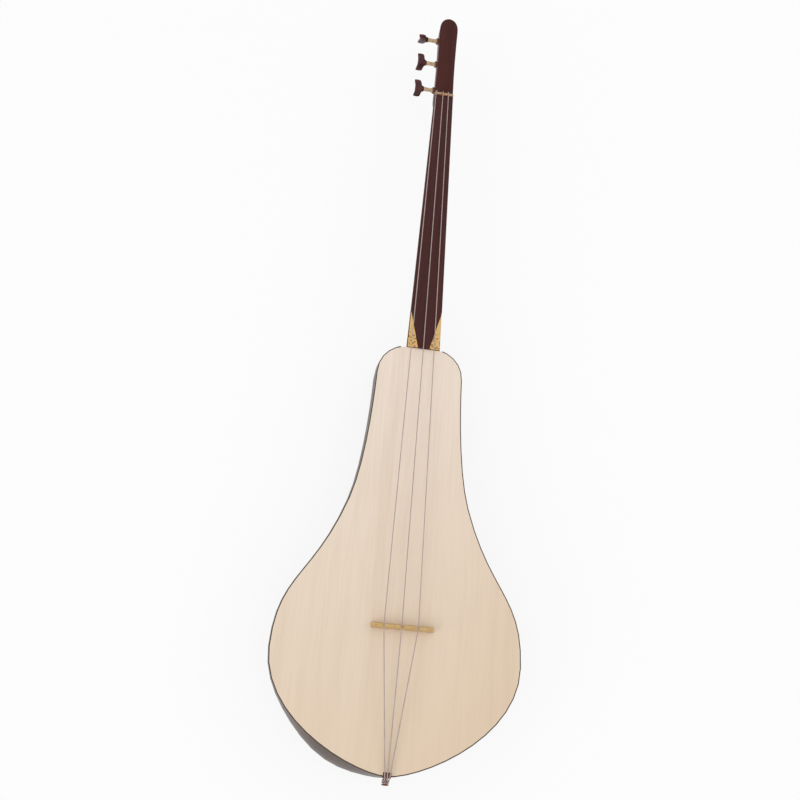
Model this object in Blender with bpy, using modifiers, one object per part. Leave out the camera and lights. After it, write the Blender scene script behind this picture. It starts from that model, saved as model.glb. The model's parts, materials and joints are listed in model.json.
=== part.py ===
# Komuz: a fretless lute with three strings, a carved bowl, a spruce soundboard and side pegs.
# It lies on its back. The soundboard faces +Z, the head points to +Y and the pegs stick out to -X.
# The origin is the centre of the flat that the back rests on. All sizes are in metres.

import math

import bmesh
import bpy
from mathutils import Vector

# Fits
GAP = 0.0003                # between pieces that touch, and round a tenon or a shaft
CUT = 0.004                 # how far a cutter runs past the wood that it cuts

# Body, seen from the front: distances from the tail or from the top of the soundboard
BODY_LENGTH = 0.4321
BODY_WIDTH = 0.2454
WIDEST_FROM_TAIL = 0.1053
WAIST_WIDTH = 0.1225
WAIST_FROM_TOP = 0.1754
WAIST_SLOPE = math.radians(18.2)
SHOULDER_WIDTH = 0.0917
SHOULDER_FROM_TOP = 0.0362
# How far each knot pulls the outline along its own direction
TOP_REACH = 0.0135
SHOULDER_REACH_UP = 0.0315
SHOULDER_REACH_DOWN = 0.0060
WAIST_REACH_UP = 0.0461
WAIST_REACH_DOWN = 0.0890
WIDEST_REACH_UP = 0.0690
WIDEST_REACH_DOWN = 0.0655
TAIL_REACH = 0.0300

# Body, seen from the side
BODY_DEPTH = 0.060          # flat of the back to the top of the soundboard
BELLY_DEPTH = 0.024         # depth at which the bowl is widest
RIM_WIDTH = 0.0010          # dark rim round the soundboard
BELLY_SWELL = 0.0012        # the belly beyond the rim, all round
TAIL_SWELL = 0.0082         # extra swell at the tail, on the bass side
TAIL_SWELL_TURN = math.radians(-121)
TAIL_SWELL_POWER = 9
BACK_FULLNESS = 2.3         # 2 is an ellipse, more is fuller
REST_WIDTH = 0.142          # flat of the back, at its widest
REST_FROM_TAIL = 0.048
REST_FROM_TOP = 0.075
BACK_THICKNESS = 0.006
LEDGE_WIDTH = 0.006         # the soundboard is glued to this ledge
TAIL_BLOCK = 0.016
NECK_BLOCK = 0.043
NECK_BLOCK_EASE = 0.043     # the inside rounds off towards the neck block over this length
TAIL_BLOCK_EASE = 0.016     # and towards the tail block from this far below the widest place
FLOOR_WIDTH = 0.134
FLOOR_MARGIN = 0.008        # the floor inside starts this much beyond the flat's two ends

# Soundboard and its bars
BOARD_THICKNESS = 0.003
BRACE_WIDTH = 0.007
BRACE_HEIGHT = 0.010
BRACE_END_HEIGHT = 0.0035
BRACE_SCOOP = 0.020
BRACE_FROM_BRIDGE = {"brace_upper": 0.095, "brace_lower": -0.062}
BRACE_END_CLEARANCE = 0.002

# Neck and head
JOINT_FROM_TOP = 0.0034     # the neck is let this far into the top of the body
SCALE_LENGTH = 0.629        # bridge to nut
BRIDGE_FROM_TAIL = 0.1337
NECK_SHIFT = 0.0016          # the neck's midline lies this far to +X of the soundboard's
NECK_WIDTH_AT_BODY = 0.0366
NECK_WIDTH_AT_NUT = 0.0227
NECK_DEPTH = 0.022
NECK_DEPTH_AT_NUT = 0.0195
HEEL_DEPTH = 0.036
HEEL_LENGTH = 0.078
TENON_LENGTH = 0.030
TENON_DEPTH = 0.018
TENON_ROOT_WIDTH = 0.020
TENON_END_WIDTH = 0.024
HEAD_WIDTH = 0.0214
HEAD_DEPTH = 0.0255
HEAD_LENGTH = 0.1160        # from the back of the nut to the tip
HEAD_SWELL_LENGTH = 0.016   # the neck deepens into the head over this length, ahead of the slot
HEAD_TIP_LENGTH = 0.019     # rounded end
HEAD_TIP_DEPTH = 0.0165
TIP_POWER = 2.6             # 2 is a round tip, more is blunter

# Fingerboard, inlays and nut
FINGERBOARD_THICKNESS = 0.0025
TONGUE_WIDTH = 0.0124       # what is left between the inlays, at the soundboard
INLAY_LENGTH = 0.0445
INLAY_MARGIN = 0.0006
NUT_THICKNESS = 0.0040
NUT_RISE = 0.0019           # above the fingerboard
NUT_FLAT = 0.0013           # flat part of its top
NUT_ROUNDING = 0.0020       # height of the round part behind it

# Strings, in the order -X to +X
STRING_RADIUS = 0.0005
STRING_AT_SADDLE = (-0.0021, 0.0, 0.0021)
STRING_AT_BRIDGE = (-0.0162, 0.0013, 0.0177)
STRING_AT_NUT = (-0.0100, -0.0015, 0.0052)   # from the neck's midline
STRING_IN_SLOT = (-0.0050, 0.0002, 0.0040)    # from the neck's midline
GROOVE_DEPTH = 0.0009
HOLE_RADIUS = 0.0011        # the holes from the face of the head down into the slot
BEND_RADIUS = 0.0025
BEND_STEPS = 3

# Bridge, saddle and tail pin
BRIDGE_LENGTH = 0.062
BRIDGE_TOP_LENGTH = 0.0585
BRIDGE_HEIGHT = 0.0085
BRIDGE_FOOT_THICKNESS = 0.0055
BRIDGE_CREST_THICKNESS = 0.0024
BRIDGE_SHIFT = 0.003        # towards +X
BRIDGE_CROWN = 0.0010       # the top is this much higher in the middle
BRIDGE_END_HEIGHT = 0.0026  # the ends stand upright this far and then lean in
ARCH_WIDTH = 0.0068
ARCH_HEIGHT = 0.0028
SADDLE_WIDTH = 0.0072
SADDLE_LENGTH = 0.0050
SADDLE_INSET = 0.0028       # from the tail end of the soundboard to its inner side
SADDLE_CORNER = 0.0014
SADDLE_RISE = 0.0012
SADDLE_DEPTH = 0.0070
PIN_DEPTH = 0.011           # below the top of the soundboard
PIN_RADIUS = 0.0022
PIN_SHANK_LENGTH = 0.015
PIN_HEAD_RADIUS = 0.0036
PIN_HEAD_LENGTH = 0.0014
PIN_FACE_RADIUS = 0.0025
PIN_TIP_RADIUS = 0.0019
LOOP_SPACING = 0.0013
LOOP_TURN = math.radians(300)

# Pegs: distances from the back of the nut to each axis, and how far each handle is turned
PEG_FROM_NUT = (0.0140, 0.0538, 0.0900)
PEG_TURN = (math.radians(16), math.radians(62), math.radians(108))
PEG_DEPTH = 0.0130          # axis below the face of the head
PEG_RADIUS_AT_CHEEK = 0.0028
PEG_RADIUS_AT_TIP = 0.0023
PEG_NECK_RADIUS = 0.0023    # thinnest, between the head and the handle
PEG_TENON_RADIUS = 0.0015
PEG_TENON_LENGTH = 0.0050
PEG_EXPOSED = 0.0130        # from the head to the handle's collar
PEG_TIP_INSET = 0.0005
FERRULE_RADIUS = 0.0036
FERRULE_FLANGE_RADIUS = 0.0041
FERRULE_STAND = 0.0021
SLOT_WIDTH = 0.0122
SLOT_FROM_NUT = 0.0055
SLOT_CORNER = 0.0023        # depth of the rounding at the nut's end
HOLE_FOOT_FROM_SLOT = 0.003 # the string holes end this far inside the slot
SLOT_END_FROM_TIP = 0.017
FACE_THICKNESS = 0.0055     # wood left between the slot and the face of the head
WINDING_PITCH = 0.00155
WINDING_TURNS = 3
TURN_POINTS = 24

# Counts of points
OUTLINE_COUNTS = (8, 8, 11, 13)
RIM_STEPS = 3
BACK_STEPS = 7
WALL_STEPS = 5
ROUND = 24


# Frame

ORIGIN_FROM_TAIL = (REST_FROM_TAIL + BODY_LENGTH - REST_FROM_TOP) / 2


def along(from_tail):
    """Y of a place that is this far from the soundboard's tail end."""
    return from_tail - ORIGIN_FROM_TAIL


TAIL_Y = along(0.0)
TOP_Y = along(BODY_LENGTH)
JOINT_Y = TOP_Y - JOINT_FROM_TOP
WIDEST_Y = along(WIDEST_FROM_TAIL)
BRIDGE_Y = along(BRIDGE_FROM_TAIL)
NUT_Y = BRIDGE_Y + SCALE_LENGTH
HEAD_Y = NUT_Y + NUT_THICKNESS
HEAD_END_Y = HEAD_Y + HEAD_LENGTH
FACE_Z = BODY_DEPTH
LEDGE_Z = FACE_Z - BOARD_THICKNESS - GAP
FINGERBOARD_Z = FACE_Z + GAP + FINGERBOARD_THICKNESS
PEG_Z = FACE_Z - PEG_DEPTH
PIN_Z = FACE_Z - PIN_DEPTH
SLOT_TOP_Z = FACE_Z - FACE_THICKNESS


# Scene and materials

def clear_scene():
    for obj in list(bpy.data.objects):
        bpy.data.objects.remove(obj, do_unlink=True)
    for collection in list(bpy.data.collections):
        bpy.data.collections.remove(collection)


def new_collection(name):
    collection = bpy.data.collections.new(name)
    bpy.context.scene.collection.children.link(collection)
    return collection


def give_material(obj, colour, roughness, metallic=0.0):
    material = bpy.data.materials.new(obj.name + "_finish")
    material.use_nodes = True
    shader = material.node_tree.nodes["Principled BSDF"]
    shader.inputs["Base Color"].default_value = (*colour, 1.0)
    shader.inputs["Roughness"].default_value = roughness
    shader.inputs["Metallic"].default_value = metallic
    obj.data.materials.append(material)


DARK_WOOD = ((0.055, 0.022, 0.017), 0.25)
FINGER_WOOD = ((0.060, 0.022, 0.020), 0.22)
SPRUCE = ((0.78, 0.65, 0.48), 0.45)
BRACE_WOOD = ((0.70, 0.55, 0.38), 0.70)
GOLD_INLAY = ((0.78, 0.50, 0.16), 0.35)
BONE = ((0.56, 0.36, 0.13), 0.35)
CHERRY = ((0.13, 0.015, 0.014), 0.20)
SHAFT_WOOD = ((0.72, 0.50, 0.24), 0.30)
RED_WOOD = ((0.20, 0.06, 0.04), 0.40)
STRING_GUT = ((0.42, 0.32, 0.30), 0.40)


# Shapes

def link(mesh, name, collection, finish=None):
    obj = bpy.data.objects.new(name, mesh)
    collection.objects.link(obj)
    if finish:
        give_material(obj, *finish)
    return obj


def mesh_from(bm, name):
    bmesh.ops.recalc_face_normals(bm, faces=bm.faces)
    mesh = bpy.data.meshes.new(name)
    bm.to_mesh(mesh)
    bm.free()
    return mesh


def smooth(obj, degrees=35):
    obj.data.shade_smooth()
    obj.data.set_sharp_from_angle(angle=math.radians(degrees))
    return obj


def loft(name, rings, collection, finish=None):
    """Closed skin over rings of equally many points, with a cap on the first and the last."""
    bm = bmesh.new()
    loops = [[bm.verts.new(point) for point in ring] for ring in rings]
    for low, high in zip(loops, loops[1:]):
        for i in range(len(low)):
            j = (i + 1) % len(low)
            bm.faces.new((low[i], low[j], high[j], high[i]))
    bm.faces.new(loops[0])
    bm.faces.new(loops[-1])
    return link(mesh_from(bm, name), name, collection, finish)


def prism(name, outline, thickness, collection, finish=None):
    """Flat plate: an XY outline round Z = 0, this thick."""
    curve = bpy.data.curves.new(name, "CURVE")
    curve.dimensions = "2D"
    curve.fill_mode = "BOTH"
    curve.extrude = thickness / 2
    spline = curve.splines.new("POLY")
    spline.points.add(len(outline) - 1)
    for point, (x, y) in zip(spline.points, outline):
        point.co = (x, y, 0.0, 1.0)
    spline.use_cyclic_u = True
    shape = bpy.data.objects.new(name, curve)
    collection.objects.link(shape)
    return to_mesh(shape, collection, finish)


def to_mesh(shape, collection, finish=None):
    """A mesh object in the place of a curve, with its caps welded."""
    name = shape.name
    view = bpy.context.evaluated_depsgraph_get()
    mesh = bpy.data.meshes.new_from_object(shape.evaluated_get(view))
    place = shape.matrix_world.copy()
    curve = shape.data
    bpy.data.objects.remove(shape)
    bpy.data.curves.remove(curve)
    bm = bmesh.new()
    bm.from_mesh(mesh)
    bpy.data.meshes.remove(mesh)
    bmesh.ops.remove_doubles(bm, verts=bm.verts, dist=0.000001)
    obj = link(mesh_from(bm, name), name, collection, finish)
    obj.matrix_world = place
    return obj


def turned(name, profile, collection, finish=None, steps=ROUND, closed=False):
    """Round piece about Z from an (r, z) profile that runs down its outer side."""
    mesh = bpy.data.meshes.new(name)
    count = len(profile)
    edges = [(i, (i + 1) % count) for i in range(count if closed else count - 1)]
    mesh.from_pydata([(r, 0.0, z) for r, z in profile], edges, [])
    obj = link(mesh, name, collection, finish)
    screw = obj.modifiers.new("Turn", "SCREW")
    screw.steps = steps
    screw.render_steps = steps
    screw.use_merge_vertices = True
    screw.merge_threshold = 0.000001
    return obj


def tube(name, points, radius, collection, finish, resolution=2):
    """Round cord through the points, with closed ends."""
    curve = bpy.data.curves.new(name, "CURVE")
    curve.dimensions = "3D"
    curve.bevel_depth = radius
    curve.bevel_resolution = resolution
    curve.use_fill_caps = True
    spline = curve.splines.new("POLY")
    spline.points.add(len(points) - 1)
    for place, point in zip(spline.points, points):
        place.co = (*point, 1.0)
    return link(curve, name, collection, finish)


def cut(obj, cutter, name):
    """Take a cutter's shape out of a piece."""
    cutter.hide_render = True
    cutter.display_type = "WIRE"
    boolean = obj.modifiers.new(name, "BOOLEAN")
    boolean.operation = "DIFFERENCE"
    boolean.solver = "EXACT"
    boolean.object = cutter


def box(name, low, high, collection):
    """Block between two corners."""
    bm = bmesh.new()
    bmesh.ops.create_cube(bm, size=1.0)
    low, high = Vector(low), Vector(high)
    size, centre = high - low, (high + low) / 2
    for vert in bm.verts:
        vert.co = Vector(a * b for a, b in zip(vert.co, size)) + centre
    return link(mesh_from(bm, name), name, collection)


def rounded_route(points, radius, steps):
    """The same route with an arc of this radius in place of each corner."""
    route = [Vector(points[0])]
    for before, corner, after in zip(points, points[1:], points[2:]):
        corner = Vector(corner)
        back = (Vector(before) - corner)
        ahead = (Vector(after) - corner)
        turn = math.pi - back.angle(ahead)
        reach = min(radius * math.tan(turn / 2), back.length * 0.45, ahead.length * 0.45)
        start = corner + back.normalized() * reach
        end = corner + ahead.normalized() * reach
        for k in range(steps + 1):
            t = k / steps
            route.append(start * (1 - t) ** 2 + corner * 2 * t * (1 - t) + end * t ** 2)
    route.append(Vector(points[-1]))
    return route


# Outline of the body

def bezier(start, pull_out, pull_in, end, count):
    """Points on a cubic curve from its start, without its end."""
    points = []
    for k in range(count):
        t = k / count
        s = 1 - t
        points.append(start * s ** 3 + pull_out * 3 * s * s * t + pull_in * 3 * s * t * t + end * t ** 3)
    return points


def half_outline():
    """Right half of the soundboard's edge: neck end, shoulder, waist, widest place, tail."""
    top = Vector((0.0, TOP_Y))
    shoulder = Vector((SHOULDER_WIDTH / 2, TOP_Y - SHOULDER_FROM_TOP))
    waist = Vector((WAIST_WIDTH / 2, TOP_Y - WAIST_FROM_TOP))
    widest = Vector((BODY_WIDTH / 2, WIDEST_Y))
    tail = Vector((0.0, TAIL_Y))
    down_waist = Vector((math.sin(WAIST_SLOPE), -math.cos(WAIST_SLOPE)))
    right, up = Vector((1.0, 0.0)), Vector((0.0, 1.0))
    top_count, side_count, flare_count, tail_count = OUTLINE_COUNTS
    edge = bezier(top, top + right * TOP_REACH, shoulder + up * SHOULDER_REACH_UP, shoulder, top_count)
    edge += bezier(shoulder, shoulder - up * SHOULDER_REACH_DOWN,
                   waist - down_waist * WAIST_REACH_UP, waist, side_count)
    edge += bezier(waist, waist + down_waist * WAIST_REACH_DOWN,
                   widest + up * WIDEST_REACH_UP, widest, flare_count)
    edge += bezier(widest, widest - up * WIDEST_REACH_DOWN, tail + right * TAIL_REACH, tail, tail_count)
    return edge + [tail]


def body_outline():
    """Soundboard's whole edge, clockwise from the middle of the neck end."""
    right = half_outline()
    left = [Vector((-p.x, p.y)) for p in reversed(right[1:-1])]
    return right + left


def outward(outline):
    """Unit normals of a clockwise outline."""
    normals = []
    count = len(outline)
    for i in range(count):
        tangent = outline[(i + 1) % count] - outline[i - 1]
        normals.append(Vector((-tangent.y, tangent.x)).normalized())
    return normals


OUTLINE = body_outline()
NORMALS = outward(OUTLINE)


def offset(amount):
    return [p + n * amount for p, n in zip(OUTLINE, NORMALS)]


def stretched(points, width, tail_y, top_y):
    """The outline scaled to this width and moved between these two ends."""
    share = (top_y - tail_y) / (TOP_Y - TAIL_Y)
    return [Vector((p.x * width / BODY_WIDTH, tail_y + (p.y - TAIL_Y) * share)) for p in points]


def at_height(points, z):
    return [Vector((p.x, p.y, z)) for p in points]


def swell(point):
    """How far the belly stands out beyond the rim, which is most at the tail."""
    turn = math.atan2(point.y - WIDEST_Y, point.x) - TAIL_SWELL_TURN
    return BELLY_SWELL + TAIL_SWELL * max(0.0, math.cos(turn)) ** TAIL_SWELL_POWER


# Body

def curved_rings(start, end, start_z, end_z, steps, fullness):
    """Rings that leave a wall upright and reach a flat level, after the first one."""
    rings = []
    for k in range(1, steps + 1):
        turn = math.pi / 2 * k / steps
        across = 1 - math.cos(turn) ** (2 / fullness) if k < steps else 1.0
        down = math.sin(turn) ** (2 / fullness)
        z = start_z + (end_z - start_z) * down
        rings.append([Vector((*(a.lerp(b, across)), z)) for a, b in zip(start, end)])
    return rings


def squeezed_ends(points):
    """Inner edge moved back to leave the neck block and the tail block solid."""
    neck_wall = JOINT_Y - NECK_BLOCK
    tail_wall = TAIL_Y + TAIL_BLOCK
    neck_from = neck_wall - NECK_BLOCK_EASE
    tail_from = WIDEST_Y - TAIL_BLOCK_EASE
    top, bottom = max(p.y for p in points), min(p.y for p in points)
    moved = []
    for p in points:
        y = p.y
        if y > neck_from:
            y = neck_from + (y - neck_from) * (neck_wall - neck_from) / (top - neck_from)
        if y < tail_from:
            y = tail_from + (y - tail_from) * (tail_wall - tail_from) / (bottom - tail_from)
        moved.append(Vector((p.x, y)))
    return moved


def make_bowl(parts, cutters):
    """Carved bowl: flat of the back, outside, rim, ledge for the soundboard, inside and floor."""
    flat = stretched(OUTLINE, REST_WIDTH, TAIL_Y + REST_FROM_TAIL, TOP_Y - REST_FROM_TOP)
    bulge = [swell(p) for p in OUTLINE]
    belly = [p + n * (RIM_WIDTH + b) for p, n, b in zip(OUTLINE, NORMALS, bulge)]
    belly_z = FACE_Z - BELLY_DEPTH
    outside = curved_rings(belly, flat, belly_z, 0.0, BACK_STEPS, BACK_FULLNESS)[::-1]
    for k in range(RIM_STEPS, -1, -1):
        share = k / RIM_STEPS
        out = math.sin(math.pi / 2 * share)
        ring = [p + n * (RIM_WIDTH + b * out) for p, n, b in zip(OUTLINE, NORMALS, bulge)]
        outside.append(at_height(ring, FACE_Z - BELLY_DEPTH * share))
    lip = offset(GAP)
    ledge = offset(-LEDGE_WIDTH)
    wall = squeezed_ends(ledge)
    floor = stretched(OUTLINE, FLOOR_WIDTH, TAIL_Y + REST_FROM_TAIL - FLOOR_MARGIN,
                      TOP_Y - REST_FROM_TOP - FLOOR_MARGIN)
    inside = [at_height(lip, FACE_Z), at_height(lip, LEDGE_Z), at_height(wall, LEDGE_Z),
              at_height(wall, belly_z + BACK_THICKNESS / 2)]
    inside += curved_rings(wall, floor, belly_z + BACK_THICKNESS / 2, BACK_THICKNESS, WALL_STEPS,
                           BACK_FULLNESS)
    bowl = loft("body_bowl", outside + inside, parts, DARK_WOOD)

    past = BODY_WIDTH
    joint = box("cut_neck_seat", (-past, JOINT_Y - GAP, -past), (past, TOP_Y + past, FACE_Z + past),
                cutters)
    cut(bowl, joint, "Neck seat")
    mortise = prism("cut_mortise", tenon_outline(GAP), TENON_DEPTH + GAP + CUT, cutters)
    mortise.location = (NECK_SHIFT, 0.0, (LEDGE_Z - TENON_DEPTH - GAP + LEDGE_Z + CUT) / 2)
    cut(bowl, mortise, "Mortise")
    cut(bowl, saddle_block("cut_saddle", GAP, CUT, cutters), "Saddle notch")
    hole = bore("cut_pin_hole", PIN_RADIUS + GAP, (0.0, tail_wall_y() - CUT, PIN_Z),
                (0.0, tail_wall_y() + PIN_SHANK_LENGTH + GAP, PIN_Z), cutters)
    cut(bowl, hole, "Pin hole")
    return smooth(bowl)


def bore(name, radius, start, end, collection, end_radius=None):
    """Round or tapered cutter between two points."""
    start, end = Vector(start), Vector(end)
    axis = end - start
    bm = bmesh.new()
    bmesh.ops.create_cone(bm, cap_ends=True, segments=ROUND, radius1=radius,
                          radius2=radius if end_radius is None else end_radius, depth=axis.length)
    obj = link(mesh_from(bm, name), name, collection)
    obj.rotation_euler = axis.to_track_quat("Z", "Y").to_euler()
    obj.location = (start + end) / 2
    return obj


def tenon_outline(margin):
    """Dovetail tenon from above: narrow at the joint, wide at its end inside the body."""
    root = TENON_ROOT_WIDTH / 2 + margin
    end = TENON_END_WIDTH / 2 + margin
    y_end = JOINT_Y - TENON_LENGTH - margin
    y_root = JOINT_Y + (CUT if margin else 0.0)
    return [(-root, y_root), (-end, y_end), (end, y_end), (root, y_root)]


def make_soundboard(parts, cutters):
    edge = [Vector((p.x, min(p.y, JOINT_Y - GAP))) for p in OUTLINE]
    board = prism("soundboard", edge, BOARD_THICKNESS, parts, SPRUCE)
    board.location.z = FACE_Z - BOARD_THICKNESS / 2
    cut(board, bpy.data.objects["cut_saddle"], "Saddle notch")
    return board


def half_width_inside(y):
    """Half of the room between the bowl's walls under the soundboard, at this Y."""
    wall = [p for p in squeezed_ends(offset(-LEDGE_WIDTH)) if p.x > 0]
    for a, b in zip(wall, wall[1:]):
        if a.y >= y >= b.y:
            return a.x + (b.x - a.x) * (a.y - y) / max(a.y - b.y, 1e-9)
    return wall[0].x


def make_brace(name, y, parts):
    """Bar under the soundboard, with both ends thinned to the wall."""
    half = min(half_width_inside(y - BRACE_WIDTH / 2), half_width_inside(y + BRACE_WIDTH / 2))
    half -= BRACE_END_CLEARANCE
    profile = [(-half, 0.0), (half, 0.0), (half, -BRACE_END_HEIGHT), (half - BRACE_SCOOP, -BRACE_HEIGHT),
               (-half + BRACE_SCOOP, -BRACE_HEIGHT), (-half, -BRACE_END_HEIGHT)]
    brace = prism(name, profile, BRACE_WIDTH, parts, BRACE_WOOD)
    brace.rotation_euler.x = math.pi / 2
    brace.location = (0.0, y, LEDGE_Z)
    return brace


# Neck, head and what lies on them

def neck_half_width(y):
    """The neck tapers evenly from the body to the nut."""
    share = (y - JOINT_Y) / (NUT_Y - JOINT_Y)
    return (NECK_WIDTH_AT_BODY + (NECK_WIDTH_AT_NUT - NECK_WIDTH_AT_BODY) * share) / 2


def ease(share):
    """Smooth step from 0 to 1."""
    share = min(max(share, 0.0), 1.0)
    return share * share * (3 - 2 * share)


def neck_depth(y):
    taper = (y - JOINT_Y) / (NUT_Y - JOINT_Y)
    plain = NECK_DEPTH + (NECK_DEPTH_AT_NUT - NECK_DEPTH) * taper
    heel = HEEL_DEPTH * (1 - ease((y - JOINT_Y) / HEEL_LENGTH))
    heel += plain * ease((y - JOINT_Y) / HEEL_LENGTH)
    head = ease((y - HEAD_Y) / HEAD_SWELL_LENGTH + 1)
    return heel + (HEAD_DEPTH - heel) * head


SECTION_TOP = 3
SECTION_UNDER = 17
NECK_ROUNDNESS = 2.2
HEAD_ROUNDNESS = 5.0
TENON_ROUNDNESS = 14.0


def section(y, half_width, depth, roundness, top=FACE_Z):
    """Flat on top and rounded below: 2 is a half ellipse, and more is nearer a box."""
    ring = []
    for k in range(SECTION_TOP):
        x = half_width * (2 * k / SECTION_TOP - 1)
        ring.append(Vector((x, y, top)))
    for k in range(SECTION_UNDER):
        turn = math.pi * k / (SECTION_UNDER - 1)
        c, s = math.cos(turn), math.sin(turn)
        x = half_width * math.copysign(abs(c) ** (2 / roundness), c)
        z = top - depth * abs(s) ** (2 / roundness) if 0 < k < SECTION_UNDER - 1 else top
        if k < SECTION_UNDER - 1:
            ring.append(Vector((x, y, z)))
    return ring


def head_half_width(y):
    """Head from the front: it swells a little past the nut and has a round tip."""
    share = (y - HEAD_Y) / (HEAD_LENGTH - HEAD_TIP_LENGTH)
    bow = math.sin(math.pi * min(max(share, 0.0), 1.0))
    half = NECK_WIDTH_AT_NUT / 2 + (HEAD_WIDTH - NECK_WIDTH_AT_NUT) / 2 * bow
    tip = (y - (HEAD_END_Y - HEAD_TIP_LENGTH)) / HEAD_TIP_LENGTH
    if tip > 0:
        half *= (1 - min(tip, 1.0) ** TIP_POWER) ** 0.5
    return half


def neck_rings():
    tenon_top = LEDGE_Z
    rings = [section(JOINT_Y - TENON_LENGTH, TENON_END_WIDTH / 2, TENON_DEPTH, TENON_ROUNDNESS, tenon_top),
             section(JOINT_Y, TENON_ROOT_WIDTH / 2, TENON_DEPTH, TENON_ROUNDNESS, tenon_top)]
    heel_steps, plain_steps, swell_steps, head_steps, tip_steps = 7, 4, 5, 4, 7
    stations = [JOINT_Y + HEEL_LENGTH * k / heel_steps for k in range(heel_steps + 1)]
    plain_start, plain_end = stations[-1], HEAD_Y - HEAD_SWELL_LENGTH
    stations += [plain_start + (plain_end - plain_start) * k / plain_steps for k in range(1, plain_steps + 1)]
    stations += [plain_end + HEAD_SWELL_LENGTH * k / swell_steps for k in range(1, swell_steps + 1)]
    tip_start = HEAD_END_Y - HEAD_TIP_LENGTH
    stations += [HEAD_Y + (tip_start - HEAD_Y) * k / head_steps for k in range(1, head_steps + 1)]
    stations += [tip_start + HEAD_TIP_LENGTH * math.sin(math.pi / 2 * k / tip_steps)
                 for k in range(1, tip_steps)]
    stations.append(HEAD_END_Y - HEAD_TIP_LENGTH * 0.004)
    for y in stations:
        half = head_half_width(y) if y > HEAD_Y else neck_half_width(min(y, NUT_Y))
        head = ease((y - HEAD_Y) / HEAD_SWELL_LENGTH + 1)
        roundness = NECK_ROUNDNESS + (HEAD_ROUNDNESS - NECK_ROUNDNESS) * head
        tip = max(0.0, (y - tip_start) / HEAD_TIP_LENGTH)
        depth = neck_depth(y) + (HEAD_TIP_DEPTH - HEAD_DEPTH) * tip ** TIP_POWER
        rings.append(section(y, half, depth, roundness))
    return rings


def slot_outline():
    """Slot in the back of the head, with half round ends."""
    radius = SLOT_WIDTH / 2
    low, high = HEAD_Y + SLOT_FROM_NUT + SLOT_CORNER, HEAD_END_Y - SLOT_END_FROM_TIP - radius
    steps = 8
    outline = []
    for k in range(steps + 1):
        turn = math.pi * k / steps
        outline.append((radius * math.cos(turn), high + radius * math.sin(turn)))
    for k in range(steps + 1):
        turn = math.pi * (1 + k / steps)
        outline.append((radius * math.cos(turn), low + SLOT_CORNER * math.sin(turn)))
    return outline


def peg_radius(x):
    """The shaft tapers evenly from the -X cheek to its tip at the +X cheek."""
    half = HEAD_WIDTH / 2
    share = (x + half) / (2 * half)
    return PEG_RADIUS_AT_CHEEK + (PEG_RADIUS_AT_TIP - PEG_RADIUS_AT_CHEEK) * share


def make_neck(parts, cutters):
    neck = loft("neck", neck_rings(), parts, DARK_WOOD)
    neck.location.x = NECK_SHIFT
    slot = prism("cut_slot", slot_outline(), HEAD_DEPTH, cutters)
    slot.location = (NECK_SHIFT, 0.0, SLOT_TOP_Z - HEAD_DEPTH / 2)
    cut(neck, slot, "Slot")
    for number, (distance, x_nut) in enumerate(zip(PEG_FROM_NUT, STRING_AT_NUT), 1):
        y = HEAD_Y + distance
        half = head_half_width(y)
        left, right = NECK_SHIFT - half, NECK_SHIFT + half
        cheek = bore(f"cut_cheek_{number}", FERRULE_RADIUS + GAP, (left - CUT, y, PEG_Z),
                     (left + CUT, y, PEG_Z), cutters)
        cut(neck, cheek, f"Cheek {number}")
        through = bore(f"cut_peg_{number}", peg_radius(-half) + GAP, (left, y, PEG_Z),
                       (right + CUT, y, PEG_Z), cutters, peg_radius(half + CUT) + GAP)
        cut(neck, through, f"Peg {number}")
        mouth = Vector((NECK_SHIFT + x_nut, HEAD_Y + STRING_RADIUS, string_bed(nut_top(x_nut))))
        foot = slot_point(number - 1)
        hole = bore(f"cut_string_{number}", HOLE_RADIUS, mouth, foot, cutters)
        cut(neck, hole, f"String hole {number}")
    return smooth(neck)


def inlay_outline(side):
    """Triangle beside the tongue, clear of the fingerboard's slanted edge."""
    base_y = JOINT_Y + GAP
    tip_y = base_y + INLAY_LENGTH
    board_edge, tip_edge = neck_half_width(base_y), neck_half_width(tip_y)
    tongue = TONGUE_WIDTH / 2
    slant = (tip_edge - tongue) / INLAY_LENGTH
    clearance = GAP * math.sqrt(1 + slant * slant)
    outer = board_edge - INLAY_MARGIN
    narrowing = (board_edge - tip_edge) / INLAY_LENGTH
    length = (outer - tongue - clearance) / (slant + narrowing)
    return [(side * outer, base_y), (side * (tongue + clearance), base_y),
            (side * (outer - narrowing * length), base_y + length)]


def make_fingerboard(parts):
    """Plate on the neck. Its end is cut away beside the tongue for the inlays."""
    start, end = JOINT_Y + GAP, NUT_Y - GAP
    tip_y = start + INLAY_LENGTH
    right = [(TONGUE_WIDTH / 2, start), (neck_half_width(tip_y), tip_y), (neck_half_width(end), end)]
    outline = right + [(-x, y) for x, y in reversed(right)]
    board = prism("fingerboard", outline, FINGERBOARD_THICKNESS, parts, FINGER_WOOD)
    board.location = (NECK_SHIFT, 0.0, FINGERBOARD_Z - FINGERBOARD_THICKNESS / 2)
    return board


def make_inlay(name, side, parts):
    inlay = prism(name, inlay_outline(side), FINGERBOARD_THICKNESS, parts, GOLD_INLAY)
    inlay.location = (NECK_SHIFT, 0.0, FINGERBOARD_Z - FINGERBOARD_THICKNESS / 2)
    return inlay


def string_bed(top):
    """Height of a string's middle over a piece with this top, in its groove."""
    return top - GROOVE_DEPTH + GAP + STRING_RADIUS


def cut_grooves(piece, places, y, top, cutters):
    """Round groove along Y under each string."""
    for number, x in enumerate(places, 1):
        middle = string_bed(top(x))
        groove = bore(f"cut_{piece.name}_groove_{number}", STRING_RADIUS + GAP, (x, y - 4 * CUT, middle),
                      (x, y + 4 * CUT, middle), cutters)
        cut(piece, groove, f"Groove {number}")


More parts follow.
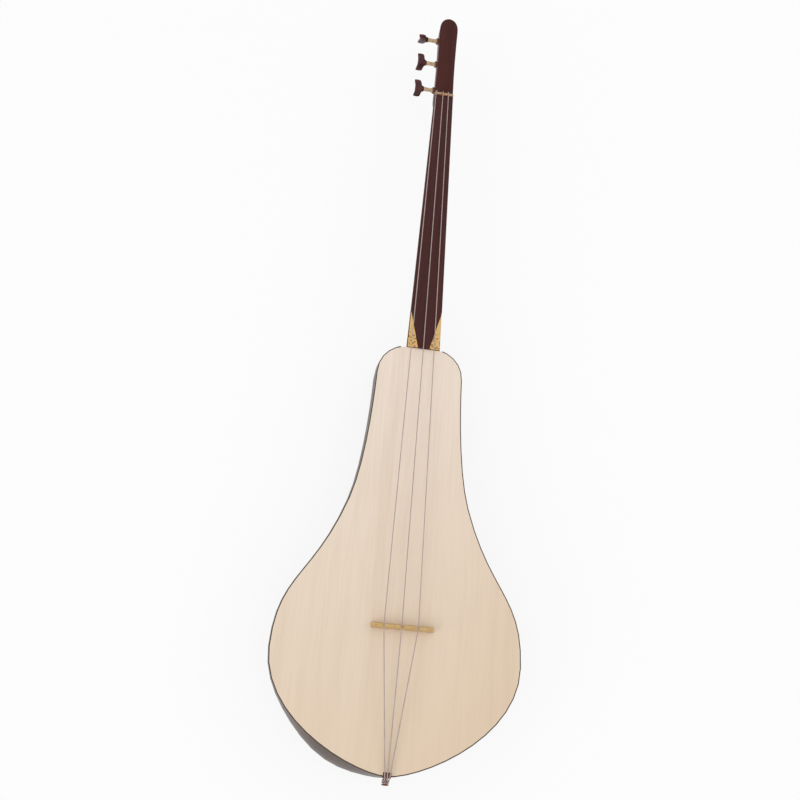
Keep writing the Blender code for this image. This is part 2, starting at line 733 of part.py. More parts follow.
def nut_top(x):
    return FINGERBOARD_Z + NUT_RISE


def make_nut(parts, cutters):
    """Block across the end of the fingerboard, rounded towards the head."""
    front, back = NUT_Y, HEAD_Y - GAP
    base, top = FACE_Z + GAP, nut_top(0.0)
    half = NECK_WIDTH_AT_NUT / 2
    profile = [(front, base), (back, base), (back, top - NUT_ROUNDING)]
    steps = 4
    for k in range(1, steps + 1):
        turn = math.pi / 2 * k / steps
        y = front + NUT_FLAT + (back - front - NUT_FLAT) * math.cos(turn)
        profile.append((y, top - NUT_ROUNDING * (1 - math.sin(turn))))
    profile.append((front, top))
    rings = [[Vector((x, y, z)) for y, z in profile] for x in (-half, half)]
    nut = loft("nut", rings, parts, BONE)
    nut.location.x = NECK_SHIFT
    cut_grooves(nut, [NECK_SHIFT + x for x in STRING_AT_NUT], NUT_Y, nut_top, cutters)
    return smooth(nut)


# Bridge, saddle and tail pin

def bridge_top(x):
    """The top is crowned along the bridge."""
    share = (x - BRIDGE_SHIFT) / (BRIDGE_TOP_LENGTH / 2)
    return FACE_Z + GAP + BRIDGE_HEIGHT + BRIDGE_CROWN * (1 - share * share)


def bridge_outline():
    """Front of the bridge: two feet, an arch between them and a crowned top."""
    base = FACE_Z + GAP
    foot, crest, arch = BRIDGE_LENGTH / 2, BRIDGE_TOP_LENGTH / 2, ARCH_WIDTH / 2
    points = [(-foot, base)]
    arch_steps, top_steps = 6, 8
    for k in range(arch_steps + 1):
        turn = math.pi * (1 - k / arch_steps)
        points.append((arch * math.cos(turn), base + ARCH_HEIGHT * math.sin(turn)))
    points += [(foot, base), (foot, base + BRIDGE_END_HEIGHT)]
    for k in range(top_steps + 1):
        x = crest * (1 - 2 * k / top_steps)
        points.append((x, bridge_top(x + BRIDGE_SHIFT)))
    points.append((-foot, base + BRIDGE_END_HEIGHT))
    return [(x + BRIDGE_SHIFT, z) for x, z in points]


def make_bridge(parts, cutters):
    """Bridge with a thin crest on thick feet, held by the strings alone."""
    full = BRIDGE_HEIGHT + BRIDGE_CROWN
    rings = []
    for side in (-1, 1):
        ring = []
        for x, z in bridge_outline():
            share = (z - FACE_Z - GAP) / full
            thickness = BRIDGE_FOOT_THICKNESS + (BRIDGE_CREST_THICKNESS - BRIDGE_FOOT_THICKNESS) * share
            ring.append(Vector((x, BRIDGE_Y + side * thickness / 2, z)))
        rings.append(ring)
    bridge = loft("bridge", rings, parts, BONE)
    cut_grooves(bridge, STRING_AT_BRIDGE, BRIDGE_Y, bridge_top, cutters)
    return smooth(bridge)


SADDLE_BACK_Y = TAIL_Y + SADDLE_INSET
SADDLE_FRONT_Y = SADDLE_BACK_Y - SADDLE_LENGTH
SADDLE_TOP_Z = FACE_Z + SADDLE_RISE


def saddle_block(name, margin, rise, collection, finish=None):
    """Block let into the tail edge. With a margin it is the notch that the block sits in."""
    back, front = SADDLE_BACK_Y + margin, SADDLE_FRONT_Y - margin
    low, high = SADDLE_TOP_Z - SADDLE_DEPTH - margin, SADDLE_TOP_Z + rise
    corner = 0.0 if margin else SADDLE_CORNER
    profile = [(front, low), (back, low), (back, high - corner)]
    if corner:
        steps = 3
        for k in range(1, steps + 1):
            turn = math.pi / 2 * k / steps
            profile.append((back - corner * (1 - math.cos(turn)), high - corner * (1 - math.sin(turn))))
        for k in range(steps):
            turn = math.pi / 2 * k / steps
            profile.append((front + corner * (1 - math.sin(turn)), high - corner * (1 - math.cos(turn))))
        profile.append((front, high - corner))
    else:
        profile.append((front, high))
    half = SADDLE_WIDTH / 2 + margin
    rings = [[Vector((x, y, z)) for y, z in profile] for x in (-half, half)]
    return loft(name, rings, collection, finish)


LOOP_RADIUS = PIN_RADIUS + GAP + STRING_RADIUS


def tail_wall_y():
    """Outside of the bowl behind the string loops on the tail pin, where it stands out most."""
    reach = LOOP_RADIUS + STRING_RADIUS
    bulge = max(swell(Vector((x, TAIL_Y))) for x in (-reach, reach))
    return TAIL_Y - RIM_WIDTH - bulge * math.sin(math.pi / 2 * (PIN_DEPTH + reach) / BELLY_DEPTH)


def loop_y(number):
    """Y of a string's loop on the tail pin, from the body outwards."""
    return tail_wall_y() - GAP - STRING_RADIUS - LOOP_SPACING * number


def make_tail_pin(parts):
    """Turned pin: a flat round head outside, and a tapered shank in the tail block."""
    head_start = tail_wall_y() - loop_y(len(STRING_AT_SADDLE) - 1) + STRING_RADIUS + GAP
    end = head_start + PIN_HEAD_LENGTH
    profile = [(0.0, end), (PIN_FACE_RADIUS, end), (PIN_HEAD_RADIUS, end - PIN_HEAD_LENGTH / 3),
               (PIN_HEAD_RADIUS, end - PIN_HEAD_LENGTH * 2 / 3), (PIN_RADIUS, head_start),
               (PIN_RADIUS, 0.0), (PIN_TIP_RADIUS, -PIN_SHANK_LENGTH), (0.0, -PIN_SHANK_LENGTH)]
    pin = turned("tail_pin", profile, parts, RED_WOOD)
    pin.rotation_euler.x = math.pi / 2
    pin.location = (0.0, tail_wall_y(), PIN_Z)
    return smooth(pin)


# Pegs

# Along the peg from the collar's face: distance, half length across the peg, half thickness
HANDLE_STATIONS = (
    (0.0000, 0.0028, 0.0028),
    (0.0008, 0.0033, 0.0032),
    (0.0018, 0.0035, 0.0031),
    (0.0029, 0.0052, 0.0029),
    (0.0037, 0.0082, 0.0028),
    (0.0047, 0.0100, 0.0029),
    (0.0065, 0.0106, 0.0030),
    (0.0096, 0.0107, 0.0029),
    (0.0122, 0.0104, 0.0025),
)
HANDLE_DISH = 0.0026        # the outer edge is this hollow in the middle
HANDLE_ROUND = 20


def handle_ring(distance, half_length, half_thickness, hollow):
    """Ring across the peg. A hollow pulls the middle of the ring back towards the collar."""
    ring = []
    for k in range(HANDLE_ROUND):
        turn = 2 * math.pi * k / HANDLE_ROUND
        c, s = math.cos(turn), math.sin(turn)
        flat = min(half_thickness / half_length, 1.0)
        power = 0.75 + 0.25 * flat
        y = half_length * math.copysign(abs(c) ** power, c)
        z = half_thickness * math.copysign(abs(s) ** power, s)
        ring.append(Vector((-distance + hollow * (1 - (y / HANDLE_STATIONS[-1][1]) ** 2), y, z)))
    return ring


def make_handle(name, parts):
    """Bow tie shaped handle that grows out of a round collar, with a socket for the shaft."""
    hole = PEG_TENON_RADIUS + GAP
    depth = PEG_TENON_LENGTH + GAP
    rings = [handle_ring(depth, hole, hole, 0.0), handle_ring(0.0, hole, hole, 0.0)]
    last = HANDLE_STATIONS[-1]
    for distance, half_length, half_thickness in HANDLE_STATIONS:
        hollow = HANDLE_DISH * max(0.0, (distance - depth) / (last[0] - depth)) ** 2
        rings.append(handle_ring(distance, half_length, half_thickness, hollow))
    for share, bulge in ((0.86, 0.0008), (0.45, 0.0010)):
        rings.append(handle_ring(last[0] + bulge, last[1] * share, last[2] * share * 0.8, HANDLE_DISH))
    return smooth(loft(name, rings, parts, CHERRY), 50)


def make_shaft(name, half, parts):
    """Turned shaft: tenon in the handle, slim neck, and a taper through both cheeks."""
    shoulder = half + PEG_EXPOSED - GAP
    tip = -half + PEG_TIP_INSET
    profile = [(0.0, shoulder + PEG_TENON_LENGTH), (PEG_TENON_RADIUS, shoulder + PEG_TENON_LENGTH),
               (PEG_TENON_RADIUS, shoulder), (PEG_NECK_RADIUS * 1.12, shoulder),
               (PEG_NECK_RADIUS * 1.12, shoulder - 0.001), (PEG_NECK_RADIUS, shoulder - 0.003),
               (PEG_NECK_RADIUS, half + FERRULE_STAND + 0.002),
               (peg_radius(-half), half + FERRULE_STAND + GAP), (peg_radius(-half), half),
               (peg_radius(half - PEG_TIP_INSET), tip), (0.0, tip)]
    shaft = turned(name, profile, parts, SHAFT_WOOD, HANDLE_ROUND)
    shaft.rotation_euler.y = -math.pi / 2
    return smooth(shaft)


def make_ferrule(name, half, parts):
    """Ring let into the cheek, with a rounded flange outside."""
    inner = peg_radius(-half) + GAP
    depth = half - CUT + GAP
    out = half + GAP
    profile = [(inner, out + FERRULE_STAND), (FERRULE_FLANGE_RADIUS * 0.85, out + FERRULE_STAND),
               (FERRULE_FLANGE_RADIUS, out + FERRULE_STAND * 0.5), (FERRULE_FLANGE_RADIUS * 0.95, out),
               (FERRULE_RADIUS, out), (FERRULE_RADIUS, depth), (inner, depth)]
    ferrule = turned(name, profile, parts, BONE, HANDLE_ROUND, closed=True)
    ferrule.rotation_euler.y = -math.pi / 2
    return smooth(ferrule)


def winding_radius(x):
    return peg_radius(x) + GAP + STRING_RADIUS


def slot_point(number):
    """Where a string comes out of its hole into the slot."""
    return Vector((NECK_SHIFT + STRING_IN_SLOT[number], HEAD_Y + SLOT_FROM_NUT + HOLE_FOOT_FROM_SLOT,
                   SLOT_TOP_Z - STRING_RADIUS - 2 * GAP))


def winding_start(number):
    """Turn about the peg at which the string touches it, counted from +Y towards +Z."""
    x = STRING_IN_SLOT[number]
    point = slot_point(number)
    y, z = point.y - HEAD_Y - PEG_FROM_NUT[number], point.z - PEG_Z
    distance = math.hypot(y, z)
    return math.atan2(z, y) - math.acos(winding_radius(x) / distance)


def short_of_winding(x):
    """How far before its peg the string ends, so that the turning winding passes it."""
    outer = winding_radius(x) + STRING_RADIUS + GAP
    inner = winding_radius(x) - STRING_RADIUS
    return math.sqrt(outer ** 2 - inner ** 2)


def winding_points(number):
    """Turns of one string round its peg, about the peg's own axis."""
    side = 1 if STRING_IN_SLOT[number] < 0 else -1
    start = winding_start(number)
    points = []
    for k in range(WINDING_TURNS * TURN_POINTS + 1):
        turns = k / TURN_POINTS
        x = STRING_IN_SLOT[number] + side * WINDING_PITCH * turns
        turn = start - 2 * math.pi * turns
        radius = winding_radius(x)
        points.append(Vector((x, radius * math.cos(turn), radius * math.sin(turn))))
    return points


def least_gap(points, radius, neighbours):
    """Least distance between two stretches of one cord's surface."""
    return min((a - b).length - 2 * radius
               for i, a in enumerate(points) for b in points[i + neighbours:])


def make_peg(number, parts):
    """Peg with its ferrule, its handle and the turns of its string."""
    y = HEAD_Y + PEG_FROM_NUT[number]
    half = head_half_width(y)
    axis = bpy.data.objects.new(f"peg_axis_{number + 1}", None)
    axis.location = (NECK_SHIFT, y, PEG_Z)
    parts.objects.link(axis)
    shaft = make_shaft(f"peg_shaft_{number + 1}", half, parts)
    handle = make_handle(f"peg_handle_{number + 1}", parts)
    handle.location.x = -half - PEG_EXPOSED
    handle.rotation_euler.x = PEG_TURN[number]
    points = winding_points(number)
    winding = tube(f"winding_{number + 1}", points, STRING_RADIUS, parts, STRING_GUT, 1)
    ferrule = make_ferrule(f"peg_ferrule_{number + 1}", half, parts)
    for piece in (shaft, handle, winding, ferrule):
        piece.parent = axis
    gap = least_gap(points, STRING_RADIUS, TURN_POINTS // 2)
    print(f"winding_{number + 1}: least gap between turns {gap * 1000:.2f} mm")


# Strings

def string_points(number):
    """Route of one string: its loop on the tail pin, saddle, bridge, nut, head and peg."""
    y_loop = loop_y(number)
    side = -1 if number == 0 else 1
    loop = []
    loop_steps = 14
    for k in range(loop_steps + 1):
        turn = -LOOP_TURN * (1 - k / loop_steps)
        loop.append(Vector((side * LOOP_RADIUS * math.cos(turn), y_loop, PIN_Z + LOOP_RADIUS * math.sin(turn))))
    bridge_x, nut_x = STRING_AT_BRIDGE[number], NECK_SHIFT + STRING_AT_NUT[number]
    corners = [
        loop[-1],
        (side * LOOP_RADIUS, y_loop, PIN_Z + LOOP_RADIUS * 0.5),
        (STRING_AT_SADDLE[number], SADDLE_FRONT_Y - 2 * STRING_RADIUS, SADDLE_TOP_Z + GAP + STRING_RADIUS),
        (bridge_x, BRIDGE_Y, string_bed(bridge_top(bridge_x))),
        (nut_x, HEAD_Y + STRING_RADIUS, string_bed(nut_top(nut_x))),
        slot_point(number),
    ]
    x = STRING_IN_SLOT[number]
    start = winding_start(number)
    touch = Vector((NECK_SHIFT + x, HEAD_Y + PEG_FROM_NUT[number] + winding_radius(x) * math.cos(start),
                    PEG_Z + winding_radius(x) * math.sin(start)))
    arrival = (touch - slot_point(number)).normalized()
    corners.append(touch - arrival * short_of_winding(x))
    return loop[:-1] + rounded_route(corners, BEND_RADIUS, BEND_STEPS)


def make_string(number, parts):
    points = string_points(number)
    return tube(f"string_{number + 1}", points, STRING_RADIUS, parts, STRING_GUT)


def main():
    clear_scene()
    parts = new_collection("komuz")
    cutters = new_collection("cutters")
    make_bowl(parts, cutters)
    make_soundboard(parts, cutters)
    for name, distance in BRACE_FROM_BRIDGE.items():
        make_brace(name, BRIDGE_Y + distance, parts)
    make_neck(parts, cutters)
    make_fingerboard(parts)
    make_inlay("inlay_left", -1, parts)
    make_inlay("inlay_right", 1, parts)
    make_nut(parts, cutters)
    make_bridge(parts, cutters)
    saddle_block("saddle", 0.0, 0.0, parts, RED_WOOD)
    make_tail_pin(parts)
    for number in range(len(PEG_FROM_NUT)):
        make_peg(number, parts)
        make_string(number, parts)


main()
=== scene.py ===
# %% [markdown]
# # A komuz on a white table
# A komuz is a plucked lute with three strings and no frets. Its bowl is carved from one block of
# wood and closed with a thin spruce board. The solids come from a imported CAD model, which stays
# exactly as it is. This lesson gives them their woods on smooth copies, and then lights and frames
# them as in a studio photograph.

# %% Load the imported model
import json
import math

import bmesh
import bpy
from mathutils import Matrix, Vector

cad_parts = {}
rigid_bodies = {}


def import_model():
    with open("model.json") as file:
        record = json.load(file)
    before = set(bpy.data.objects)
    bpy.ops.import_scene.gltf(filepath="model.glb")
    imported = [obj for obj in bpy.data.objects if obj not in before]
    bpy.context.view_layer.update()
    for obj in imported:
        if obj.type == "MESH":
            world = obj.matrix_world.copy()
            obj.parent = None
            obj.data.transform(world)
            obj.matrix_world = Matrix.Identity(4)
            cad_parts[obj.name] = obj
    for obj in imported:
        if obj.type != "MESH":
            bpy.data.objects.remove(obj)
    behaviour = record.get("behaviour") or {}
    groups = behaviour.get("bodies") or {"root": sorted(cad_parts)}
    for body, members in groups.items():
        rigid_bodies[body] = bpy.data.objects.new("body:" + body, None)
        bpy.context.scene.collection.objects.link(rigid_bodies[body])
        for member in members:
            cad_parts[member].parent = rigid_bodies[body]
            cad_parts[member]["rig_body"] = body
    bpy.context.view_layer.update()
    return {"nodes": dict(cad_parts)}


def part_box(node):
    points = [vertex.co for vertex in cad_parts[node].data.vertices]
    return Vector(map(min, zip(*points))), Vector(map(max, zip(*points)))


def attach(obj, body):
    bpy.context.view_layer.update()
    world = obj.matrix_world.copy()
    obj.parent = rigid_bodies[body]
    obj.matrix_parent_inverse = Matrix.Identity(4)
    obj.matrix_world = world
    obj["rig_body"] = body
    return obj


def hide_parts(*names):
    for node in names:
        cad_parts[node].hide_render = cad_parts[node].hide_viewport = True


for leftover in list(bpy.data.objects):
    bpy.data.objects.remove(leftover, do_unlink=True)
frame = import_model()

# %% [markdown]
# ## Where the camera stood
# The photograph was taken from above, a little to the left of the strings, with the instrument
# leaning to the right in the frame. The soundboard is symmetric, so the slant between its two
# halves tells where the lens was. A camera is placed best with three unit vectors: what is right,
# up and backwards for it. They are the columns of its matrix.

# %% Camera
CAMERA_PLACE = Vector((-0.1019, -0.1046, 0.8684))
CAMERA_RIGHT = Vector((0.98807, 0.08374, 0.12923))
CAMERA_UP = Vector((-0.11968, 0.94570, 0.30221))
CAMERA_BACK = Vector((-0.09691, -0.31407, 0.94444))
FOCAL_LENGTH = 36.0         # millimetres, on a sensor that is as wide
NEAREST_SEEN = 0.01

lens = bpy.data.cameras.new("studio_camera")
lens.lens = FOCAL_LENGTH
lens.sensor_width = FOCAL_LENGTH
lens.clip_start = NEAREST_SEEN
camera = bpy.data.objects.new("studio_camera", lens)
turn = Matrix((CAMERA_RIGHT, CAMERA_UP, CAMERA_BACK)).transposed().to_4x4()
camera.matrix_world = Matrix.Translation(CAMERA_PLACE) @ turn
bpy.context.scene.collection.objects.link(camera)
bpy.context.scene.camera = camera
bpy.context.scene.view_settings.view_transform = "Standard"
print("camera", round(CAMERA_PLACE.z * 1000), "mm above the table")

# %% [markdown]
# ## Arithmetic on sockets
# Shader nodes are easier to read as sums. This class wraps one output socket, so that
# `1 - mask * 0.5` adds the Math nodes by itself. Every other node comes from its one method,
# `node`, which takes the type, then the settings, then what goes into the sockets.


# %% The socket class
class Wire:
    """One output of a shader tree."""

    def __init__(self, tree, socket=None):
        self.tree = tree
        self.socket = socket

    def node(self, kind, settings=(), sockets=(), output=0):
        made = self.tree.nodes.new(kind)
        for name, value in dict(settings).items():
            setattr(made, name, value)
        for name, value in dict(sockets).items():
            self.feed(made.inputs[name], value)
        return Wire(self.tree, made.outputs[output])

    def feed(self, entry, value):
        if isinstance(value, Wire):
            self.tree.links.new(value.socket, entry)
        elif isinstance(value, tuple) and entry.type == "RGBA":
            entry.default_value = (*value, 1.0)
        else:
            entry.default_value = value

    def math(self, operation, first, second=0.0):
        return self.node("ShaderNodeMath", {"operation": operation}, {0: first, 1: second})

    def __add__(self, other):
        return self.math("ADD", self, other)

    def __sub__(self, other):
        return self.math("SUBTRACT", self, other)

    def __rsub__(self, other):
        return self.math("SUBTRACT", other, self)

    def __mul__(self, other):
        return self.math("MULTIPLY", self, other)

    __radd__ = __add__
    __rmul__ = __mul__

    def axis(self, number):
        """The x, y or z of a place, counted from 0."""
        return self.node("ShaderNodeSeparateXYZ", {}, {"Vector": self}, number)

    def clamped(self, low, high):
        """0 at low and 1 at high, with a straight line between them."""
        return self.node("ShaderNodeMapRange", {}, {"Value": self, "From Min": low, "From Max": high})

    def mixed(self, first, second):
        """The first colour where this value is 0 and the second where it is 1."""
        return self.node("ShaderNodeMix", {"data_type": "RGBA"}, {0: self, 6: first, 7: second}, 2)


print("the socket class is ready")

# %% [markdown]
# ## What every finish shares
# Each finish starts from Object coordinates, which are metres here, because every piece keeps its
# object at the origin. A Mapping node moves the pattern's centre and stretches the pattern. A large
# scale along Y draws noise out into lines that run along the strings, as grain does.

# %% A new finish, noise and bump
COAT_ROUGHNESS = 0.12
OBJECT_COORDINATES = 3      # the output of the Texture Coordinate node


def new_finish(name, roughness, coat=0.0, specular=0.5, centre=(0.0, 0.0, 0.0), scale=(1.0, 1.0, 1.0)):
    """A material with its shader, and the place on the piece from the centre, divided by the scale."""
    material = bpy.data.materials.new(name)
    material.use_nodes = True
    tree = material.node_tree
    shader = tree.nodes["Principled BSDF"]
    shader.inputs["Roughness"].default_value = roughness
    shader.inputs["Coat Weight"].default_value = coat
    shader.inputs["Coat Roughness"].default_value = COAT_ROUGHNESS
    shader.inputs["Specular IOR Level"].default_value = specular
    coordinates = Wire(tree).node("ShaderNodeTexCoord", output=OBJECT_COORDINATES)
    place = coordinates.node("ShaderNodeMapping", {"vector_type": "TEXTURE"},
                             {"Vector": coordinates, "Location": centre, "Scale": scale})
    return material, shader, place


def noise(place, scale, detail=3.0, roughness=0.5):
    return place.node("ShaderNodeTexNoise", {},
                      {"Vector": place, "Scale": scale, "Detail": detail, "Roughness": roughness})


def bump(place, height, strength, distance):
    return place.node("ShaderNodeBump", {},
                      {"Height": height, "Strength": strength, "Distance": distance})


print("the tools for finishes are ready")

# %% [markdown]
# ## Spruce for the soundboard
# A soundboard is split along the grain, so the year rings show as fine straight lines that run
# from the neck to the tail. Noise that is stretched far along Y gives lines of uneven width, and
# a second, wider noise gives the few darker streaks of the real board. The board is paler beside
# the neck and warmer towards the tail and its right edge, so two colours are mixed along it.

# %% Spruce
SPRUCE_TOP = (0.905, 0.780, 0.675)
SPRUCE_LOW = (0.775, 0.605, 0.430)
SPRUCE_DARK = (0.710, 0.555, 0.410)
SPRUCE_STRETCH = 26.0       # of the grain, along the strings
RING_SCALE = 480.0
RING_SHARE = 0.22
STREAK_SCALE = 30.0
STREAK_SHARE = 0.45
PALE_END_Y = 0.18
WARM_END_Y = -0.20
PALE_SIDE_X = -0.03
WARM_SIDE_X = 0.11
ALONG_SHARE = 0.75          # of the warmth; the rest runs across the board


def spruce_finish():
    material, shader, place = new_finish("spruce", 0.62, specular=0.2, scale=(1.0, SPRUCE_STRETCH, 1.0))
    rings = noise(place, RING_SCALE, detail=2.0, roughness=0.6)
    streaks = noise(place, STREAK_SCALE, detail=4.0, roughness=0.65)
    lines = rings.clamped(0.35, 0.75) * RING_SHARE + streaks.clamped(0.46, 0.72) * STREAK_SHARE
    across = place.axis(0)
    along = place.axis(1) * SPRUCE_STRETCH
    warm_along = along.clamped(PALE_END_Y, WARM_END_Y) * ALONG_SHARE
    warm_across = across.clamped(PALE_SIDE_X, WARM_SIDE_X) * (1.0 - ALONG_SHARE)
    board = (warm_along + warm_across).mixed(SPRUCE_TOP, SPRUCE_LOW)
    colour = lines.mixed(board, SPRUCE_DARK)
    colour.feed(shader.inputs["Base Color"], colour)
    colour.feed(shader.inputs["Normal"], bump(place, rings, strength=0.12, distance=0.0004))
    return material


FINISHES = {"soundboard": spruce_finish()}
print("finish:", FINISHES["soundboard"].name)

# %% [markdown]
# ## Dark stained wood
# The bowl, the neck and the fingerboard are stained nearly black-brown and varnished. The stain
# hides most of the grain. What is left is a faint lighter streak along the wood. Under even light
# a strong gloss would turn the stain grey, so the clear coat on the neck is kept very thin.

# %% Stained woods
STAIN_STRETCH = 25.0
FIBRE_SCALE = 380.0
BAND_SCALE = 40.0
GLOSS_DRIFT = 0.12          # how far the roughness wanders along the fibres


def stained_finish(name, light, dark, roughness, coat, specular):
    material, shader, place = new_finish(name, roughness, coat, specular, scale=(1.0, STAIN_STRETCH, 1.0))
    fibres = noise(place, FIBRE_SCALE, detail=3.0, roughness=0.6)
    bands = noise(place, BAND_SCALE, detail=2.0, roughness=0.5)
    lines = fibres.clamped(0.3, 0.7) * 0.5 + bands.clamped(0.3, 0.7) * 0.5
    colour = lines.mixed(dark, light)
    colour.feed(shader.inputs["Base Color"], colour)
    colour.feed(shader.inputs["Roughness"], fibres * GLOSS_DRIFT + (roughness - GLOSS_DRIFT / 2))
    return material


FINISHES["body_bowl"] = stained_finish("stained_bowl", (0.105, 0.068, 0.048), (0.045, 0.024, 0.016),
                                       roughness=0.34, coat=0.3, specular=0.3)
FINISHES["neck"] = stained_finish("stained_neck", (0.088, 0.021, 0.015), (0.046, 0.011, 0.008),
                                  roughness=0.36, coat=0.04, specular=0.12)
FINISHES["fingerboard"] = stained_finish("polished_fingerboard", (0.084, 0.021, 0.018), (0.046, 0.011, 0.010),
                                         roughness=0.34, coat=0.08, specular=0.18)
print("stained:", FINISHES["body_bowl"].name, FINISHES["neck"].name, FINISHES["fingerboard"].name)

# %% [markdown]
# ## Golden inlays
# Two golden triangles sit beside the narrow end of the fingerboard, with a traditional scroll
# pattern near the soundboard. Rings round a scatter of points give small curls that stay generic,
# and a mask keeps them to the end beside the soundboard.

# %% Golden inlay
INLAY_GOLD = (0.790, 0.500, 0.170)
INLAY_BROWN = (0.330, 0.150, 0.035)
CURL_SCALE = 190.0
CURL_RINGS = 11.0
CURL_STRENGTH = 0.8
CURLS_FADE_FROM = 0.012     # metres from the soundboard's end of the inlay
CURLS_END_AT = 0.024


def inlay_finish():
    joint_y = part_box("inlay_left")[0].y
    material, shader, place = new_finish("golden_inlay", 0.35, 0.3, 0.4, centre=(0.0, joint_y, 0.0))
    cells = place.node("ShaderNodeTexVoronoi", {"voronoi_dimensions": "2D"},
                       {"Vector": place, "Scale": CURL_SCALE})
    rings = place.math("SINE", cells * CURL_RINGS).clamped(0.2, 0.6)
    low_part = 1 - place.axis(1).clamped(CURLS_FADE_FROM, CURLS_END_AT)
    colour = (rings * low_part * CURL_STRENGTH).mixed(INLAY_GOLD, INLAY_BROWN)
    colour.feed(shader.inputs["Base Color"], colour)
    return material


FINISHES["inlay"] = inlay_finish()
print("finish:", FINISHES["inlay"].name)

# %% [markdown]
# ## Small fittings
# The bridge and the nut are golden wood, the pegs have cherry red handles on pale shafts, and the
# strings are plain gut. One function makes them all: a base colour that drifts a little along a
# coarse noise, which is what keeps small turned parts from looking like plastic.

# %% Fittings
GUT_LIGHT = (0.48, 0.38, 0.35)
GUT_DARK = (0.38, 0.29, 0.27)


def plain_finish(name, light, dark, roughness, coat=0.0, scale=260.0, specular=0.5):
    material, shader, place = new_finish(name, roughness, coat, specular)
    colour = noise(place, scale).clamped(0.3, 0.7).mixed(dark, light)
    colour.feed(shader.inputs["Base Color"], colour)
    return material


FINISHES.update({
    "brace": plain_finish("bare_spruce", (0.72, 0.56, 0.38), (0.60, 0.44, 0.27), 0.7),
    "nut": plain_finish("golden_nut", (0.66, 0.40, 0.20), (0.30, 0.12, 0.05), 0.35, 0.2, scale=420.0),
    "bridge": plain_finish("golden_bridge", (0.68, 0.46, 0.19), (0.48, 0.29, 0.09), 0.4, 0.2, scale=220.0),
    "saddle": plain_finish("red_saddle", (0.20, 0.055, 0.040), (0.11, 0.028, 0.022), 0.4, 0.2),
    "tail_pin": plain_finish("pin_wood", (0.34, 0.14, 0.05), (0.18, 0.06, 0.02), 0.3, 0.4),
    "peg_shaft": plain_finish("pale_shaft", (0.74, 0.55, 0.34), (0.50, 0.31, 0.15), 0.35, 0.3),
    "peg_handle": plain_finish("cherry_handle", (0.095, 0.009, 0.009), (0.022, 0.004, 0.004),
                               0.26, 0.25, scale=140.0, specular=0.35),
    "peg_ferrule": plain_finish("brown_ferrule", (0.34, 0.15, 0.06), (0.16, 0.06, 0.03), 0.35, 0.2),
    "string": plain_finish("gut_string", GUT_LIGHT, GUT_DARK, 0.4, 0.1, scale=90.0),
    "winding": plain_finish("gut_winding", GUT_LIGHT, GUT_DARK, 0.4, 0.1, scale=90.0),
})
print(len(FINISHES), "finishes")

# %% [markdown]
# ## Smooth copies of the solids
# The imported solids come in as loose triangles, so light breaks at each facet. They may not be
# changed, so each gets a copy whose doubled corners are merged and whose edges stay sharp only
# where two faces meet at a real corner. The loaded triangles also carry stored normals, which
# draw faint bands over large flat faces, so the copy drops them. It rides on its solid's body.

# %% Copy each solid and give it its wood
SHARP_ANGLE = math.radians(38)
MERGE_DISTANCE = 0.000002
STORED_NORMALS = "custom_normal"
body_of_node = {node: obj["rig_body"] for node, obj in frame["nodes"].items()}


def kind_of(node):
    """The finish that a node takes: its name, or its name without its number or side."""
    if node in FINISHES:
        return node
    return node.rsplit("_", 1)[0]


def merged_mesh(source, name):
    bm = bmesh.new()
    bm.from_mesh(source)
    bmesh.ops.remove_doubles(bm, verts=bm.verts, dist=MERGE_DISTANCE)
    mesh = bpy.data.meshes.new(name)
    bm.to_mesh(mesh)
    bm.free()
    stored = mesh.attributes.get(STORED_NORMALS)
    if stored:
        mesh.attributes.remove(stored)
    return mesh


def smooth_copy(node):
    mesh = merged_mesh(frame["nodes"][node].data, node + "_smooth")
    piece = bpy.data.objects.new(node + "_smooth", mesh)
    bpy.context.scene.collection.objects.link(piece)
    mesh.materials.clear()
    mesh.materials.append(FINISHES[kind_of(node)])
    mesh.shade_smooth()
    mesh.set_sharp_from_angle(angle=SHARP_ANGLE)
    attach(piece, body_of_node[node])
    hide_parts(node)
    return piece


copies = [smooth_copy(node) for node in sorted(frame["nodes"])]
print(len(copies), "smooth copies")

# %% [markdown]
# ## A white table
# A product photograph has a white table. A plain white surface would render light grey, and more
# light would bleach the woods. So the camera alone sees the table glow, by the Is Camera Ray
# output, and a share of the plain paint is kept under it for the soft shadow.

# %% Table
TABLE_SIZE = 6.0
TABLE_COLOUR = (0.90, 0.90, 0.90)
WHITE = (1.0, 1.0, 1.0)
GLOW_SHARE = 0.85           # of the table as the camera sees it; the rest keeps the shadow

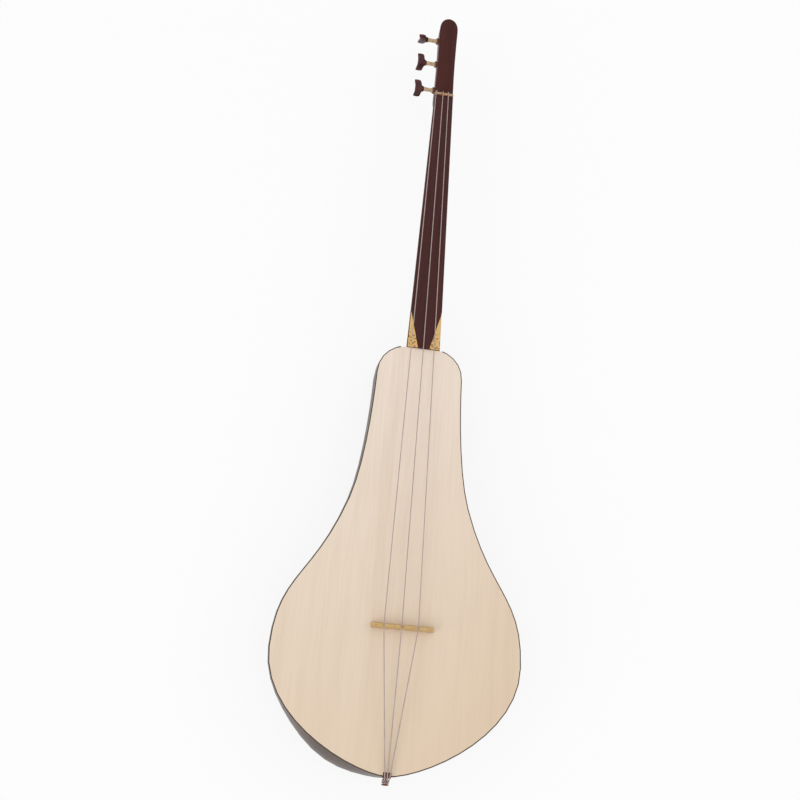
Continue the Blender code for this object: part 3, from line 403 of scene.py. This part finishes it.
bm = bmesh.new()
bmesh.ops.create_grid(bm, x_segments=1, y_segments=1, size=TABLE_SIZE / 2)
table_mesh = bpy.data.meshes.new("table")
bm.to_mesh(table_mesh)
bm.free()
table = bpy.data.objects.new("table", table_mesh)
bpy.context.scene.collection.objects.link(table)
print("table", TABLE_SIZE, "m wide")

# %% Table paint
table_paint, table_shader, table_place = new_finish("white_table", 0.9, 0.0, 0.1)
table_place.feed(table_shader.inputs["Base Color"], TABLE_COLOUR)
seen = table_place.node("ShaderNodeLightPath")
glow = table_place.node("ShaderNodeEmission", {}, {"Color": WHITE, "Strength": 1.0})
shaded = Wire(table_paint.node_tree, table_shader.outputs["BSDF"])
blend = table_place.node("ShaderNodeMixShader", {}, {0: seen * GLOW_SHARE, 1: shaded, 2: glow})
blend.feed(table_paint.node_tree.nodes["Material Output"].inputs["Surface"], blend)
table_mesh.materials.append(table_paint)
print("the camera sees", GLOW_SHARE, "of the glow")

# %% [markdown]
# ## Soft light
# The light comes from all round, so that no hard shadow falls. The world gives the even part, and
# two large soft lamps, the stronger one on the left, give the woods their sheen.

# %% Light
WORLD_STRENGTH = 0.80
LAMP_SIZE = 1.4
LAMP_AIM = (0.0, 0.1, 0.0)


def soft_lamp(name, place, watts):
    lamp = bpy.data.lights.new(name, "AREA")
    lamp.shape = "DISK"
    lamp.size = LAMP_SIZE
    lamp.energy = watts
    holder = bpy.data.objects.new(name, lamp)
    holder.location = place
    holder.rotation_euler = (Vector(LAMP_AIM) - Vector(place)).to_track_quat("-Z", "Y").to_euler()
    bpy.context.scene.collection.objects.link(holder)


world = bpy.data.worlds.new("studio")
bpy.context.scene.world = world
world.use_nodes = True
background = world.node_tree.nodes["Background"]
background.inputs["Color"].default_value = (*WHITE, 1.0)
background.inputs["Strength"].default_value = WORLD_STRENGTH
soft_lamp("key_lamp", (-1.8, -1.0, 1.1), 12.0)
soft_lamp("fill_lamp", (1.9, 0.6, 1.2), 6.0)
print("world at", WORLD_STRENGTH)
